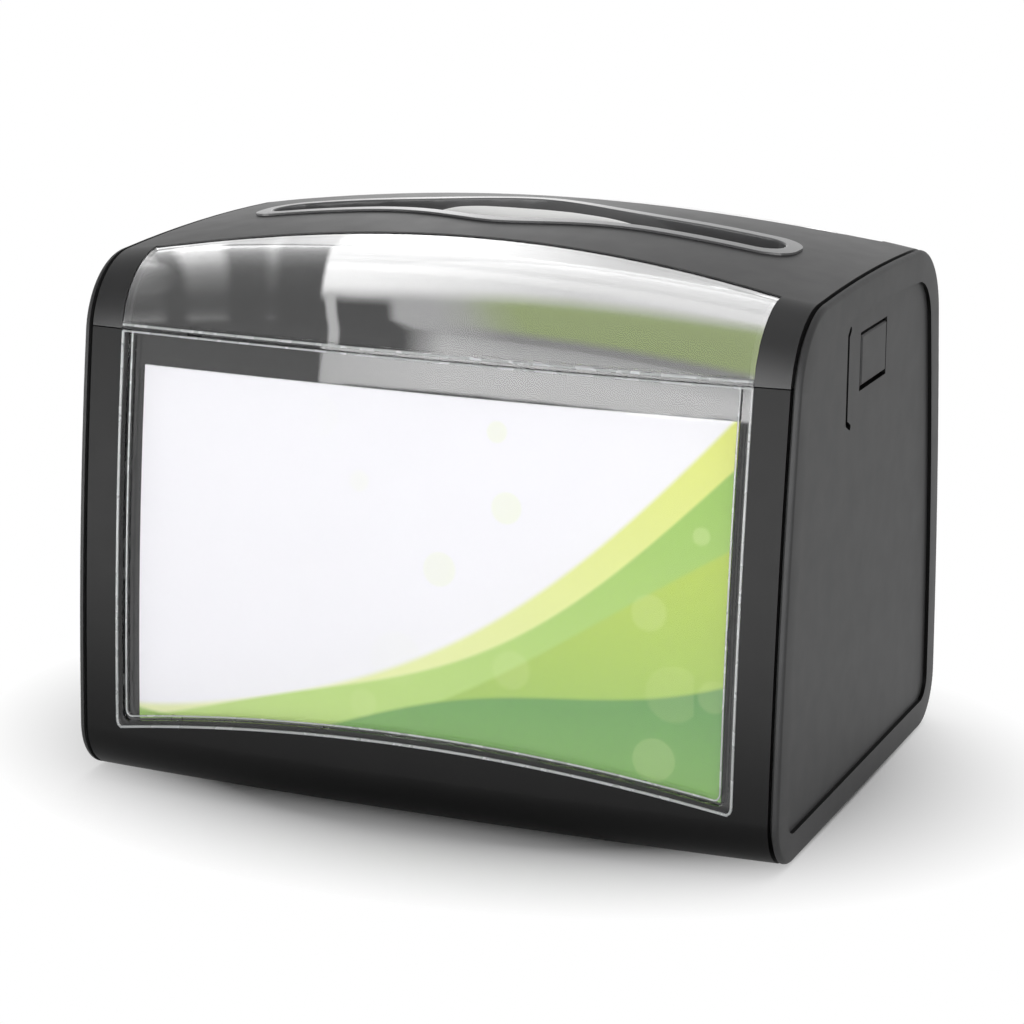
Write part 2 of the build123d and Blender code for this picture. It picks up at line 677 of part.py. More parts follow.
leg_top = latch_plate_bottom - seat_gap
with BuildPart() as right_latch_leg:
    with BuildSketch(Plane.XZ.offset(-button_middle_y)):
        with BuildLine():
            Polyline((leg_outer, leg_top), (leg_outer, barb_top), (barb_tip, barb_top),
                     (barb_tip, barb_top - barb_nose), (leg_outer, barb_top - barb_height),
                     (leg_outer, leg_bottom), (leg_inner, leg_bottom),
                     (leg_inner, leg_top - latch_leg_wall),
                     (leg_inner - latch_leg_flange, leg_top - latch_leg_wall),
                     (leg_inner - latch_leg_flange, leg_top), (leg_outer, leg_top))
        make_face()
    extrude(amount=latch_leg_width / 2, both=True)
    add(latch_rivet(leg_top, bracket_top, 0))

left_latch_bracket = mirrored(right_latch_bracket, Plane.YZ)
left_latch_leg = mirrored(right_latch_leg, Plane.YZ)

with BuildPart() as cover_screws:
    with Locations(Plane.XY.offset(latch_plate_bottom)):
        with cover_screw_places():
            add(screw(0))

with BuildPart() as cover_bosses:
    with Locations(Plane.XY.offset(bracket_top + seat_gap)):
        with cover_screw_places():
            Cylinder(boss_radius, height - bracket_top, align=from_below)
    add(skin(shell_wall / 2), mode=Mode.INTERSECT)
    with Locations(Plane.XY.offset(latch_plate_bottom)):
        with cover_screw_places():
            add(screw(screw_play), mode=Mode.SUBTRACT)

with top_cover:
    add(cover_bosses.part)

# --- write every piece ----------------------------------------------------------------------------------
pieces = {
    "base_tray": base_tray,
    "front_fascia": front_fascia,
    "rear_fascia": rear_fascia,
    "left_side_panel": left_side_panel,
    "right_side_panel": right_side_panel,
    "front_window": front_window,
    "rear_window": rear_window,
    "front_card": front_card,
    "rear_card": rear_card,
    "front_card_backing": front_backing,
    "rear_card_backing": rear_backing,
    "magazine_front_wall": magazine_front_wall,
    "magazine_rear_wall": magazine_rear_wall,
    "magazine_left_wall": magazine_left_wall,
    "magazine_right_wall": magazine_right_wall,
    "left_feed_spring": left_feed_spring,
    "right_feed_spring": right_feed_spring,
    "base_screws": base_screws,
    "rubber_feet": rubber_feet,
    "pusher_plate": pusher_plate,
    "napkin_stack": napkin_stack,
    "leading_napkin": leading_napkin,
    "top_cover": top_cover,
    "front_top_lens": front_top_lens,
    "rear_top_lens": rear_top_lens,
    "front_lens_backing": front_lens_backing,
    "rear_lens_backing": rear_lens_backing,
    "slot_bezel": slot_bezel,
    "left_latch_bracket": left_latch_bracket,
    "right_latch_bracket": right_latch_bracket,
    "left_latch_leg": left_latch_leg,
    "right_latch_leg": right_latch_leg,
    "cover_screws": cover_screws,
    "left_release_button": left_release_button,
    "right_release_button": right_release_button,
}
for label, piece in pieces.items():
    piece.part.label = label
    export_step(piece.part, f"parts/{label}.step")
    print(label, len(piece.part.solids()), piece.part.is_valid, round(piece.part.volume / 1000, 2))
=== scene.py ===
# %% [markdown]
# # A tabletop napkin dispenser
#
# The box stands on a counter and feeds folded paper napkins up to a slot in its crowned top. Its
# parts come from a CAD model that already has the right sizes and places. This lesson dresses them:
# it smooths the moulded shells, folds the paper, prints the display card, and gives each part a
# finish. Everything is in metres, in the frame of the CAD model.

# %% Load the CAD model and keep its size
import json
from math import cos, pi, radians, sin, sqrt

import bmesh
import bpy
import numpy as np
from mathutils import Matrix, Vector


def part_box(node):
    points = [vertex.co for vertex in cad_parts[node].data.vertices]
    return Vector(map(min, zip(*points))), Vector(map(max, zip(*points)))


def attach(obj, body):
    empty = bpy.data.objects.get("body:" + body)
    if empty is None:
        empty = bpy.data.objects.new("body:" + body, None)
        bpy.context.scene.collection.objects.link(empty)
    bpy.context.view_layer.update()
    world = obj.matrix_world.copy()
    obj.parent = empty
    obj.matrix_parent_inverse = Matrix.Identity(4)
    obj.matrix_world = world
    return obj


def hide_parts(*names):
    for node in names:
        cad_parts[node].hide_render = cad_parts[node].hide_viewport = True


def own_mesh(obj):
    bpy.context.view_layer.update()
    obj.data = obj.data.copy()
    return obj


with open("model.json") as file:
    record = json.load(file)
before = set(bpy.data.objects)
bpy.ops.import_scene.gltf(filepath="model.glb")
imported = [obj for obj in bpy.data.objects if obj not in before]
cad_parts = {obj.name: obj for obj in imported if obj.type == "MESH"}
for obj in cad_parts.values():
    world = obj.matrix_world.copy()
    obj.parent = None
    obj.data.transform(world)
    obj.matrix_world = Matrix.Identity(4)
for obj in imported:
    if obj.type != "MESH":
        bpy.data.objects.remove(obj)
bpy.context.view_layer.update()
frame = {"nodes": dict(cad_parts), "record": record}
mm = 0.001
scene = bpy.context.scene
scene.view_settings.view_transform = "Standard"


def placed(name, data):
    """A new object in the scene, for a mesh, a lamp or a camera."""
    piece = bpy.data.objects.new(name, data)
    scene.collection.objects.link(piece)
    return piece


# %% [markdown]
# ## Camera
#
# A product picture is taken from a little to the right and a little above, with a long lens, so that
# the upright edges stay nearly parallel. The camera is placed by its direction and distance from a
# point in the middle of the box, and then rolled by a quarter of a degree.

# %% Place the camera
camera_azimuth = radians(22.842)
camera_elevation = radians(14.779)
camera_roll = radians(-0.241)
camera_distance = 882.17 * mm
camera_target = Vector((-2.509, 0, 67.863)) * mm
camera_lens = 111.34

toward_camera = Vector((sin(camera_azimuth) * cos(camera_elevation),
                        -cos(camera_azimuth) * cos(camera_elevation),
                        sin(camera_elevation)))
camera_data = bpy.data.cameras.new("camera")
camera_data.lens = camera_lens
camera_data.sensor_width = 36
camera = placed("camera", camera_data)
camera.location = camera_target + camera_distance * toward_camera
turn = toward_camera.to_track_quat("Z", "Y")
turn.rotate(Matrix.Rotation(-camera_roll, 3, toward_camera).to_quaternion())
camera.rotation_euler = turn.to_euler()
scene.camera = camera

# %% [markdown]
# ## Node helpers
#
# Finishes, recipes and the light of the surroundings are all small trees of nodes. These helpers add
# a node and feed its sockets, so that each tree below reads as a short list of steps.

# %% Helpers for node trees
class Tree:
    """A node tree, and short ways to add to it."""

    def __init__(self, tree):
        self.tree = tree

    def node(self, kind, **fields):
        made = self.tree.nodes.new(kind)
        for field, value in fields.items():
            setattr(made, field, value)
        return made

    def put(self, node, socket, value):
        """Feed a socket from another node, or set it to a plain value."""
        if isinstance(value, bpy.types.NodeSocket):
            self.tree.links.new(value, node.inputs[socket])
        else:
            node.inputs[socket].default_value = value

    def feed(self, node, **sockets):
        """Feed sockets by name."""
        for socket, value in sockets.items():
            self.put(node, socket.replace("_", " "), value)

    def step(self, kind, result, fields=None, **sockets):
        """Add a node, feed its sockets by name, and give back one of its outputs."""
        node = self.node(kind, **(fields or {}))
        self.feed(node, **sockets)
        return node.outputs[result]

    def math(self, operation, first, second=0.0, third=0.0):
        node = self.node("ShaderNodeMath", operation=operation)
        for socket, value in enumerate((first, second, third)):
            self.put(node, socket, value)
        return node.outputs["Value"]

    def xyz(self, **axes):
        return self.step("ShaderNodeCombineXYZ", "Vector", **axes)

    def mix_shaders(self, amount, first, second, output):
        """Blend two shaders, and make the result the surface."""
        node = self.node("ShaderNodeMixShader")
        for socket, value in enumerate((amount, first, second)):
            self.put(node, socket, value)
        self.put(output, "Surface", node.outputs["Shader"])


class Finish(Tree):
    """A material with one Principled shader, and the steps that the finishes share."""

    def __init__(self, name, **settings):
        self.material = bpy.data.materials.new(name)
        self.material.use_nodes = True
        super().__init__(self.material.node_tree)
        self.shader = self.tree.nodes["Principled BSDF"]
        self.output = self.tree.nodes["Material Output"]
        self.place = self.node("ShaderNodeTexCoord").outputs["Object"]
        self.feed(self.shader, **settings)

    def noise(self, size, detail=3.0, roughness=0.5):
        """Cloudy noise whose features are about one size across."""
        scaled = self.step("ShaderNodeMapping", "Vector", Scale=[1 / size] * 3, Vector=self.place)
        return self.step("ShaderNodeTexNoise", "Fac", Scale=1.0, Detail=detail, Roughness=roughness,
                         Vector=scaled)

    def spread(self, value, low, high, source_low=0.0, source_high=1.0):
        """Map one range of numbers to another, and clamp."""
        return self.step("ShaderNodeMapRange", "Result", From_Min=source_low, From_Max=source_high,
                         To_Min=low, To_Max=high, Value=value)

    def mix(self, amount, first, second):
        """Blend two colours."""
        node = self.node("ShaderNodeMix", data_type="RGBA")
        for socket, value in ((0, amount), (6, first), (7, second)):
            self.put(node, socket, value)
        return node.outputs[2]

    def bump(self, height, strength, distance):
        bumped = self.step("ShaderNodeBump", "Normal", Strength=strength, Distance=distance, Height=height)
        self.feed(self.shader, Normal=bumped)


def grey(level):
    return (level, level, level * 1.02, 1.0)


# %% [markdown]
# ## Moulded plastic
#
# The housing is moulded in a steel tool that has been etched, so the plastic comes out with a fine
# pebble grain and a soft sheen. Handling polishes it unevenly. So there are three layers: a fine
# bump, a broad change in roughness, and a very faint change in colour.

# %% Moulded plastic and rubber in six shades
def moulded(name, level, roughness, specular=0.5, grain=0.35 * mm, depth=0.02 * mm):
    finish = Finish(name, Specular_IOR_Level=specular)
    cloud = finish.mix(finish.noise(28 * mm, detail=2), grey(level * 0.98), grey(level * 1.02))
    rub = finish.spread(finish.noise(9 * mm, detail=4), roughness - 0.02, roughness + 0.02, 0.3, 0.7)
    finish.feed(finish.shader, Base_Color=cloud, Roughness=rub)
    finish.bump(finish.noise(grain, detail=1), 0.35, depth)
    return finish.material


housing_black = moulded("housing black", 0.0025, 0.4, specular=0.12)
panel_grey = moulded("panel grey", 0.031, 0.5, specular=0.22)
cover_grey = moulded("cover grey", 0.02, 0.4, specular=0.3)
inner_black = moulded("inner black", 0.006, 0.35, specular=0.08, grain=4 * mm, depth=0.01 * mm)
bezel_gloss = moulded("bezel gloss", 0.12, 0.16, specular=0.4, grain=2 * mm, depth=0.003 * mm)
foot_rubber = moulded("foot rubber", 0.02, 0.75, specular=0.25)

# %% [markdown]
# ## Clear plastic
#
# Windows and lenses are clear, polished plastic. A transmitting shader gives the bright lines at
# their moulded edges. Light from the lamps would be stopped by it, so for shadow rays it steps aside
# and lets the light through.

# %% Clear plastic
def clear_plastic_material():
    finish = Finish("clear plastic", Roughness=0.0, IOR=1.49, Transmission_Weight=1.0,
                    Base_Color=(0.975, 0.975, 0.98, 1))
    finish.bump(finish.noise(22 * mm, detail=1), 0.1, 0.02 * mm)
    path = finish.node("ShaderNodeLightPath")
    passing = finish.step("ShaderNodeBsdfTransparent", "BSDF", Color=(0.94, 0.94, 0.945, 1))
    finish.mix_shaders(path.outputs["Is Shadow Ray"], finish.shader.outputs["BSDF"], passing, finish.output)
    return finish.material


clear_plastic = clear_plastic_material()

# %% [markdown]
# ## Pale edge beads
#
# This finish is for the thin beads along the edges: clear plastic made pale and slightly matt. The pale
# colour is painted highlight, so that each bead scatters light as a thin bright line.

# %% Pale edge finish, painted highlight on clear plastic
def painted_highlight_edge_material():
    """Clear plastic made pale and slightly matt: painted highlight that shows as a bright line along an edge.
    """
    # painted highlight: the pale base colour makes each bead read as a bright line
    finish = Finish("frosted edge", IOR=1.49, Transmission_Weight=0.35, Base_Color=(0.72, 0.74, 0.74, 1))
    wear = finish.spread(finish.noise(6 * mm, detail=3), 0.12, 0.38, 0.35, 0.65)
    finish.feed(finish.shader, Roughness=wear)
    finish.bump(finish.noise(1.2 * mm, detail=2), 0.2, 0.02 * mm)
    return finish.material


painted_highlight_edge = painted_highlight_edge_material()

# %% [markdown]
# ## Metal, card and paper
#
# Spring wire and screws share one metal with different polish. Tissue is rough and scatters nearly all
# light. The display card is coated and printed: each hill is the area under a curve across the card,
# and the hills are laid over each other from the palest to the darkest.

# %% Steel, card and tissue
card_left, card_right = (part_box("front_card")[side].x for side in (0, 1))
card_foot, card_top = (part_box("front_card")[side].z for side in (0, 1))
disc_spacing = 19 * mm
hill_climb = 1.7
card_hills = [   # rise, swing, waves, start, blur, colour above, colour below
    (1.02, 0.05, 5.0, 1.2, 0.012, (0.72, 0.78, 0.12, 1), (0.80, 0.86, 0.45, 1)),
    (0.86, 0.05, 6.5, 0.2, 0.008, (0.30, 0.55, 0.06, 1), (0.52, 0.72, 0.20, 1)),
    (0.62, 0.05, 5.5, 2.4, 0.008, (0.46, 0.62, 0.05, 1), (0.32, 0.54, 0.10, 1)),
    (0.36, 0.05, 7.0, 4.0, 0.008, (0.08, 0.28, 0.06, 1), (0.20, 0.44, 0.08, 1)),
]


def steel_material(name, level, roughness):
    finish = Finish(name, Metallic=1.0, Base_Color=grey(level))
    streak = finish.spread(finish.noise(0.4 * mm, detail=3), roughness - 0.08, roughness + 0.08)
    finish.feed(finish.shader, Roughness=streak)
    return finish.material


def tissue_material():
    finish = Finish("napkin tissue", Roughness=0.9, Base_Color=(0.86, 0.86, 0.85, 1), Specular_IOR_Level=0.2)
    finish.bump(finish.noise(0.5 * mm, detail=4, roughness=0.7), 0.4, 0.1 * mm)
    return finish.material


def card_material():
    """White card with green hills that rise to the right, and pale discs of light over them."""
    finish = Finish("printed card", Roughness=0.35, Specular_IOR_Level=0.4)
    axes = finish.node("ShaderNodeSeparateXYZ")
    finish.feed(axes, Vector=finish.place)
    across = finish.spread(axes.outputs["X"], 0, 1, card_left, card_right)
    up = finish.spread(axes.outputs["Z"], 0, 1, card_foot, card_top)
    paper = (0.88, 0.875, 0.905, 1)
    colour = finish.mix(finish.noise(40 * mm), paper, (0.90, 0.895, 0.925, 1))
    for rise, swing, waves, start, blur, light, dark in card_hills:
        ridge = finish.math("MULTIPLY", finish.math("POWER", across, hill_climb), rise)
        turn = finish.math("MULTIPLY_ADD", across, waves, start)
        sway = finish.math("MULTIPLY", finish.math("SINE", turn), swing)
        height = finish.math("SUBTRACT", finish.math("ADD", ridge, sway), up)
        inside = finish.spread(height, 0, 1, -blur, blur)
        inside.node.interpolation_type = "SMOOTHSTEP"
        tone = finish.mix(finish.spread(up, 0, 1, 0.0, rise), dark, light)
        colour = finish.mix(inside, colour, tone)
    discs = finish.node("ShaderNodeTexVoronoi", voronoi_dimensions="2D")
    finish.feed(discs, Scale=1 / disc_spacing, Randomness=0.8,
                Vector=finish.xyz(X=axes.outputs["X"], Y=axes.outputs["Z"]))
    pick = finish.node("ShaderNodeSeparateColor")
    finish.feed(pick, Color=discs.outputs["Color"])
    radius = finish.spread(pick.outputs["Red"], 0.12, 0.42)
    disc = finish.spread(finish.math("SUBTRACT", radius, discs.outputs["Distance"]), 0, 1, -0.01, 0.03)
    shine = finish.math("MULTIPLY", disc, finish.spread(pick.outputs["Green"], 0.0, 0.5, 0.35, 1.0))
    shine = finish.math("MULTIPLY", shine, finish.spread(across, 0, 1, 0.3, 0.75))
    colour = finish.mix(shine, colour, (0.80, 0.90, 0.42, 1))
    finish.feed(finish.shader, Base_Color=colour)
    finish.bump(finish.noise(0.6 * mm, detail=2), 0.1, 0.02 * mm)
    return finish.material


spring_steel = steel_material("spring steel", 0.55, 0.3)
screw_steel = steel_material("screw steel", 0.45, 0.35)
napkin_tissue = tissue_material()
printed_card = card_material()

# %% [markdown]
# ## The outer form as a formula
#
# The shells, windows and lenses of the box all follow one outer surface. Its cross-section, seen from
# the side, is four arcs: a rounding at the bottom, a slightly swollen face, a shoulder and the crown.
# Between the ends and the middle of the width, each point of the section moves along a parabola.
# A formula for that surface gives the exact direction that each point of a polished part faces, and so
# its reflections come out smooth, however the CAD model was cut into triangles.

# %% Sizes of the outer form
half_width = 100.5 * mm
end_half_depth = 72.5 * mm
face_bow = 2.95 * mm
crown_height = 153.2 * mm
crown_drop = 10.2 * mm
foot_height = 0.5 * mm
lean = 12.1 * mm
face_swell = 2.65 * mm
top_swell = 2.2 * mm
top_swell_middle = 6.0 * mm
bottom_radius = 14 * mm
shoulder_radius = 22 * mm
samples_per_arc = 120


def circle_through(a, b, c):
    """Centre and radius of the circle through three points."""
    rows = np.array([b - a, c - b]) * 2
    centre = np.linalg.solve(rows, [b @ b - a @ a, c @ c - b @ b])
    return centre, np.linalg.norm(a - centre)


def half_section(middle):
    """Points and tangents along the rear half of the section, from the bottom to the crown."""
    foot = end_half_depth + face_bow * middle
    crown = crown_height - crown_drop * (1 - middle)
    edge = crown - top_swell - (top_swell_middle - top_swell) * middle
    face, face_radius = circle_through(np.array([foot, foot_height]),
                                       np.array([foot - lean / 2 + face_swell, (foot_height + edge) / 2]),
                                       np.array([foot - lean, edge]))
    top, top_radius = circle_through(np.array([foot - lean, edge]), np.array([0, crown]),
                                     np.array([lean - foot, edge]))
    low_z = foot_height + bottom_radius
    reach = face_radius - bottom_radius
    low = np.array([face[0] + sqrt(reach ** 2 - (low_z - face[1]) ** 2), low_z])
    to_face, to_top = face_radius - shoulder_radius, top_radius - shoulder_radius
    across = top - face
    apart = np.linalg.norm(across)
    along = (to_face ** 2 - to_top ** 2 + apart ** 2) / (2 * apart)
    aside = sqrt(to_face ** 2 - along ** 2)
    ahead = across / apart
    shoulder = max((face + along * ahead + side * aside * np.array([-ahead[1], ahead[0]])
                    for side in (-1, 1)), key=lambda point: point[0])
    turns = [-pi / 2, np.arctan2(*(low - face)[::-1]), np.arctan2(*(shoulder - face)[::-1]),
             np.arctan2(*(shoulder - top)[::-1]), pi / 2]
    points, tangents = [], []
    for centre, radius, start, end in zip((low, face, shoulder, top),
                                          (bottom_radius, face_radius, shoulder_radius, top_radius),
                                          turns, turns[1:]):
        turn = np.linspace(start, end, samples_per_arc)
        points.append(centre + radius * np.stack([np.cos(turn), np.sin(turn)], 1))
        tangents.append(radius * (end - start) * np.stack([-np.sin(turn), np.cos(turn)], 1))
    return np.concatenate(points), np.concatenate(tangents)


end_points, end_tangents = half_section(0)
middle_points, middle_tangents = half_section(1)


def skin_at(places):
    """For each place, how deep it lies under the outer surface, and the way that surface faces."""
    depth = np.zeros(len(places))
    facing = np.zeros((len(places), 3))
    for start in range(0, len(places), 4000):
        x, y, z = places[start:start + 4000].T
        middle = (1 - (x / half_width) ** 2)[:, None, None]
        section = end_points + (middle_points - end_points) * middle
        gap = section - np.stack([abs(y), z], 1)[:, None, :]
        nearest = (gap ** 2).sum(2).argmin(1)
        row = np.arange(len(x))
        tangent = (end_tangents + (middle_tangents - end_tangents) * middle)[row, nearest]
        slope = (middle_points - end_points)[nearest] * (-2 * x / half_width ** 2)[:, None]
        normal = np.stack([tangent[:, 0] * slope[:, 1] - tangent[:, 1] * slope[:, 0],
                           tangent[:, 1], -tangent[:, 0]], 1)
        normal /= np.linalg.norm(normal, axis=1)[:, None]
        depth[start:start + 4000] = (gap[row, nearest] * normal[:, 1:]).sum(1)
        normal[:, 1] *= np.where(y < 0, -1, 1)
        facing[start:start + 4000] = normal
    return depth, facing


# %% [markdown]
# ## Smooth shells
#
# The CAD model arrives as loose triangles, which look faceted in a polished surface. A copy whose
# doubled corners are merged can be shaded smoothly, with creases kept where the shape has them. Where
# a face lies along the outer form, its corners get the formula's direction.

# %% Merge and smooth copies of the CAD parts
body_of = {node: body for body, nodes in frame["record"]["behaviour"]["bodies"].items() for node in nodes}
slot_of = {part["node"]: part["material_slot"] for part in frame["record"]["subparts"]}
finishes = {
    "housing_black": housing_black,
    "panel_grey": panel_grey,
    "cover_grey": cover_grey,
    "bezel_gloss": bezel_gloss,
    "clear_plastic": clear_plastic,
    "inner_black": inner_black,
    "printed_card": printed_card,
    "napkin_paper": napkin_tissue,
    "spring_steel": spring_steel,
    "screw_steel": screw_steel,
    "foot_rubber": foot_rubber,
}


def stands_for(piece, *nodes):
    """The piece rides on the body of the nodes it replaces, and those nodes are hidden."""
    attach(piece, body_of[nodes[0]])
    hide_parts(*nodes)


def follow_the_form(mesh, within=6):
    """Give the corners of faces that lie along the outer form the direction of that form."""
    places = np.empty(len(mesh.vertices) * 3)
    mesh.vertices.foreach_get("co", places)
    facing = skin_at(places.reshape(-1, 3))[1]
    corners = np.empty(len(mesh.loops), int)
    mesh.loops.foreach_get("vertex_index", corners)
    flat = np.empty(len(mesh.polygons) * 3)
    mesh.polygons.foreach_get("normal", flat)
    counts = np.empty(len(mesh.polygons), int)
    mesh.polygons.foreach_get("loop_total", counts)
    flat = np.repeat(flat.reshape(-1, 3), counts, axis=0)
    smooth = np.empty(len(mesh.loops) * 3)
    mesh.corner_normals.foreach_get("vector", smooth)
    smooth = smooth.reshape(-1, 3)
    wanted = facing[corners]
    agreement = (wanted * flat).sum(1)
    along = abs(agreement) > cos(radians(within))
    smooth[along] = wanted[along] * np.sign(agreement[along])[:, None]
    mesh.normals_split_custom_set(smooth.tolist())
    return along.mean()


def merged_mesh(node):
    mesh = frame["nodes"][node].data.copy()
    work = bmesh.new()
    work.from_mesh(mesh)
    bmesh.ops.remove_doubles(work, verts=work.verts, dist=0.001 * mm)
    work.to_mesh(mesh)
    work.free()
    custom = mesh.attributes.get("custom_normal")
    if custom:
        mesh.attributes.remove(custom)
    mesh.materials.clear()
    mesh.materials.append(finishes[slot_of[node]])
    return mesh


def smooth_shell(node, name, crease=28):
    mesh = merged_mesh(node)
    mesh.name = name
    mesh.shade_smooth()
    mesh.set_sharp_from_angle(angle=radians(crease))
    share = follow_the_form(mesh)
    piece = placed(name, mesh)
    stands_for(piece, node)
    print(f"{name}: {len(mesh.polygons)} faces, {share:.0%} on the outer form")
    return piece


shells = [node for node in frame["nodes"]
          if slot_of[node] not in ("spring_steel", "screw_steel", "napkin_paper")]
shell = {node: smooth_shell(node, node + "_shell") for node in shells}
for node in frame["nodes"]:
    if node not in shells:
        materials = frame["nodes"][node].data.materials
        materials.clear()
        materials.append(finishes[slot_of[node]])

# %% [markdown]
# ## Painted shade in the side panels' recesses
#
# The step round a side panel's sunk field, the pocket round the release button and the slit beside it
# are narrow, and light hardly gets in, so they read as black lines. Their walls are given the black of
# the housing as painted shade: the panel's own plastic there is grey.

# %% Paint shade on the walls of the recesses
rim_depth = 3 * mm         # the outer rounding of the panel lies above this
recess_depth = 3 * mm      # the recesses are cut within this much of the panel's outer face
for side in ("left", "right"):
    mesh = shell[side + "_side_panel"].data
    # painted shade: the recess walls take the housing's black instead of the panel's grey
    mesh.materials.append(housing_black)
    centres = np.array([face.center for face in mesh.polygons])
    depth = skin_at(centres)[0]
    for face, below in zip(mesh.polygons, depth):
        if below > rim_depth and abs(face.normal.x) < 0.5 and abs(face.center.x) > half_width - recess_depth:
            face.material_index = 1

# %% [markdown]
# ## Recipes in Geometry Nodes
#
# Screws, coils, leaves of paper and the polished beads along the edges of the clear parts all repeat
# or follow a line. A Geometry Nodes tree describes such a thing once, with its sizes as named inputs.
# This helper builds a tree, runs it on a starting mesh, and keeps the result as a plain mesh.

# %% Helper for Geometry Nodes recipes
class Recipe(Tree):
    """A Geometry Nodes tree with named sizes."""

    def __init__(self, name, lengths=(), counts=()):
        super().__init__(bpy.data.node_groups.new(name, "GeometryNodeTree"))
        self.inputs = {}
        kinds = {"Geometry": "Geometry", **dict.fromkeys(lengths, "Float"), **dict.fromkeys(counts, "Int"),
                 "Material": "Material"}
        for label, kind in kinds.items():
            socket = self.tree.interface.new_socket(label, in_out="INPUT", socket_type="NodeSocket" + kind)
            self.inputs[label] = socket.identifier
        self.tree.interface.new_socket("Geometry", in_out="OUTPUT", socket_type="NodeSocketGeometry")
        self.given = self.node("NodeGroupInput").outputs

    def end(self, geometry):
        whole = self.step("GeometryNodeRealizeInstances", "Geometry", Geometry=geometry)
        painted = self.step("GeometryNodeSetMaterial", "Geometry", Geometry=whole,
                            Material=self.given["Material"])
        self.put(self.node("NodeGroupOutput"), "Geometry", painted)

    def make(self, name, start, finish, **sizes):
        """Run the recipe on a starting mesh, and keep the result as a plain mesh with that finish."""
        draft = placed(name + "_draft", start)
        modifier = draft.modifiers.new(self.tree.name, "NODES")
        modifier.node_group = self.tree
        modifier[self.inputs["Material"]] = finish
        for label, value in sizes.items():
            modifier[self.inputs[label.replace("_", " ")]] = value
        ready = draft.evaluated_get(bpy.context.evaluated_depsgraph_get())
        mesh = bpy.data.meshes.new_from_object(ready)
        bpy.data.objects.remove(draft)
        mesh.name = name
        print(f"{name}: {len(mesh.polygons)} faces from the recipe '{self.tree.name}'")
        return placed(name, mesh)


def points_mesh(name, places, joined=False):
    """A mesh of loose points, or of one open line through them."""
    mesh = bpy.data.meshes.new(name)
    edges = [(row, row + 1) for row in range(len(places) - 1)] if joined else []
    mesh.from_pydata([tuple(place) for place in places], edges, [])
    return mesh


def grid_faces(points, columns):
    """Quads between points that are stored row by row."""
    return [(start + column, start + column + 1, start + column + columns + 1, start + column + columns)
            for start in range(0, len(points) - columns, columns) for column in range(columns - 1)]


# %% [markdown]
# ## Beads with painted highlight on the clear parts
#
# The moulded edges of the window and the lower lip of the lens are rounded, and they catch the light as
# thin bright lines. Each is a fine, partly clear bead along the edge, in the pale edge finish, whose colour
# is painted highlight. The recipe turns a line into a smooth curve and sweeps a small circle along it.
# The line itself follows the outer form, so that the bead lies in the surface.

# %% Recipe for a bead along a line
bead_recipe = Recipe("bead along a line", lengths=("Radius", "Spacing"))
given = bead_recipe.given
line = bead_recipe.step("GeometryNodeMeshToCurve", "Curve", Mesh=given["Geometry"])
even = bead_recipe.step("GeometryNodeResampleCurve", "Curve", {"mode": "LENGTH"}, Curve=line,
                        Length=given["Spacing"])
ring = bead_recipe.step("GeometryNodeCurvePrimitiveCircle", "Curve", Resolution=12, Radius=given["Radius"])
rod = bead_recipe.step("GeometryNodeCurveToMesh", "Mesh", Curve=even, Profile_Curve=ring, Fill_Caps=True)
bead_recipe.end(bead_recipe.step("GeometryNodeSetShadeSmooth", "Geometry", Geometry=rod))


def on_the_face(x, z, sink, side):
    """The place on the front (side -1) or rear (side 1) face at a width and a height."""
    middle = 1 - (x / half_width) ** 2
    depth, height = (end_points + (middle_points - end_points) * middle).T
    return x, side * (np.interp(z, height, depth) - sink), z


# %% Beads round the windows and along the lenses
window_edge = 88.2 * mm
sill_corner, sill_arch = 15.8 * mm, 7.3 * mm
corner_round = 2.0 * mm
pane_top = 124.1 * mm
lip_height = 125.75 * mm
bead_radius, inner_bead_radius, pane_bead_radius = 0.38 * mm, 0.25 * mm, 0.3 * mm
bead_sink = 0.12 * mm
bead_spacing = 1.0 * mm    # between the points along a bead
inner_inset = 3.0 * mm


def sill(x):
    return sill_corner + sill_arch * (1 - (x / window_edge) ** 2)


def window_outline(inset):
    """Widths and heights down the left edge, along the arched sill and up the right edge."""
    edge = window_edge - inset
    side = [(edge, z) for z in np.linspace(pane_top, sill(edge) + inset + corner_round, 60)]
    turn = [(edge - corner_round * (1 - cos(angle)), sill(edge) + inset + corner_round * (1 - sin(angle)))
            for angle in np.linspace(0.2, 1.3, 6)]
    along = [(x, sill(x) + inset) for x in np.linspace(edge - corner_round, 0, 50)]
    half = side + turn + along
    return [(-x, z) for x, z in half] + half[-2::-1]


def bead(name, outline, node, side, radius=bead_radius):
    line = points_mesh(name, [on_the_face(x, z, bead_sink, side) for x, z in outline], joined=True)
    # the bead's pale finish is painted highlight along the edge
    piece = bead_recipe.make(name, line, painted_highlight_edge, Radius=radius, Spacing=bead_spacing)
    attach(piece, body_of[node])


lip_line, pane_line = ([(x, height) for x in np.linspace(-window_edge, window_edge, 120)]
                       for height in (lip_height, pane_top))
for side, face in ((-1, "front"), (1, "rear")):
    window = face + "_window"
    bead(window + "_bead", window_outline(0), window, side)
    bead(window + "_inner_bead", window_outline(inner_inset), window, side, inner_bead_radius)
    bead(face + "_pane_top_bead", pane_line, window, side, pane_bead_radius)
    bead(face + "_lens_lip_bead", lip_line, face + "_top_lens", side)
